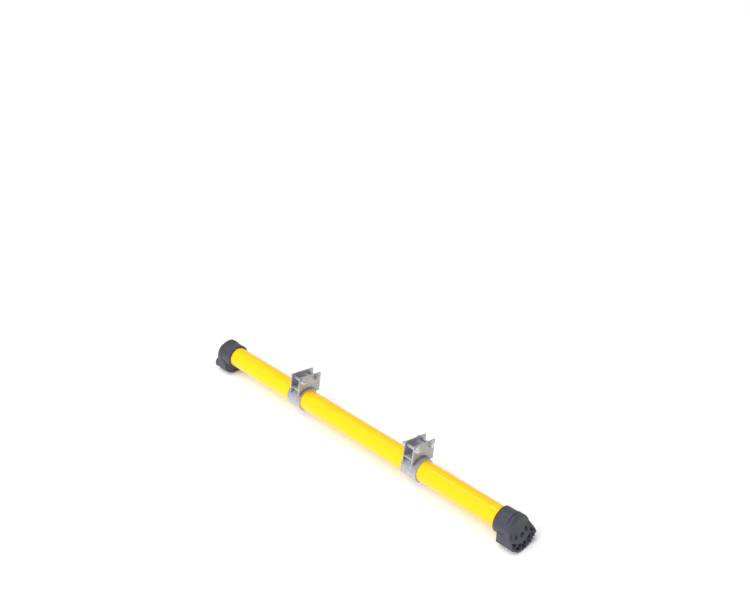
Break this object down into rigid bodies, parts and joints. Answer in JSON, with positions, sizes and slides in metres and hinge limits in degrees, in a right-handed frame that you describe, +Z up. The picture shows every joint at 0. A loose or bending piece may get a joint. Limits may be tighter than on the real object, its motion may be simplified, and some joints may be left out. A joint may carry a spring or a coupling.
{
  "type": "ladder stabilizer",
  "caption": "Round tube base bar with rubber rocker boots on its ends and welded brackets that bolt to a ladder's stiles.",
  "frame": {"origin": "middle of the tube's axis", "axes": "+X along the tube, +Y to the side the ladder leans towards, +Z up; the soles meet the floor at about z = -52 mm"},
  "size_m": [1.1, 0.0943, 0.1267],
  "materials": {
    "yellow_tube": "glossy glass-fibre tube, yellow right through",
    "boot_rubber": "matt moulded charcoal rubber",
    "galvanised_steel": "hot-dip galvanised, dull grey spangle",
    "weld_zinc": "weld bead under zinc",
    "plated_steel": "bright zinc plate",
    "insert_nylon": "natural nylon"
  },
  "bodies": {
    "root": {"bar_tube": "yellow_tube", "left_boot": "boot_rubber", "left_sleeve": "galvanised_steel", "left_outer_cheek": "galvanised_steel", "left_inner_cheek": "galvanised_steel", "left_seat_plate": "galvanised_steel", "left_outer_arch_weld": "weld_zinc", "left_inner_arch_weld": "weld_zinc", "left_seat_welds": "weld_zinc", "left_sleeve_screw": "plated_steel", "left_front_bolt": "plated_steel", "left_front_washer": "plated_steel", "left_front_nut": "plated_steel", "left_front_nut_insert": "insert_nylon", "left_rear_bolt": "plated_steel", "left_rear_washer": "plated_steel", "left_rear_nut": "plated_steel", "left_rear_nut_insert": "insert_nylon", "right_boot": "boot_rubber", "right_sleeve": "galvanised_steel", "right_outer_cheek": "galvanised_steel", "right_inner_cheek": "galvanised_steel", "right_seat_plate": "galvanised_steel", "right_outer_arch_weld": "weld_zinc", "right_inner_arch_weld": "weld_zinc", "right_seat_welds": "weld_zinc", "right_sleeve_screw": "plated_steel", "right_front_bolt": "plated_steel", "right_front_washer": "plated_steel", "right_front_nut": "plated_steel", "right_front_nut_insert": "insert_nylon", "right_rear_bolt": "plated_steel", "right_rear_washer": "plated_steel", "right_rear_nut": "plated_steel", "right_rear_nut_insert": "insert_nylon"}
  },
  "joints": []
}
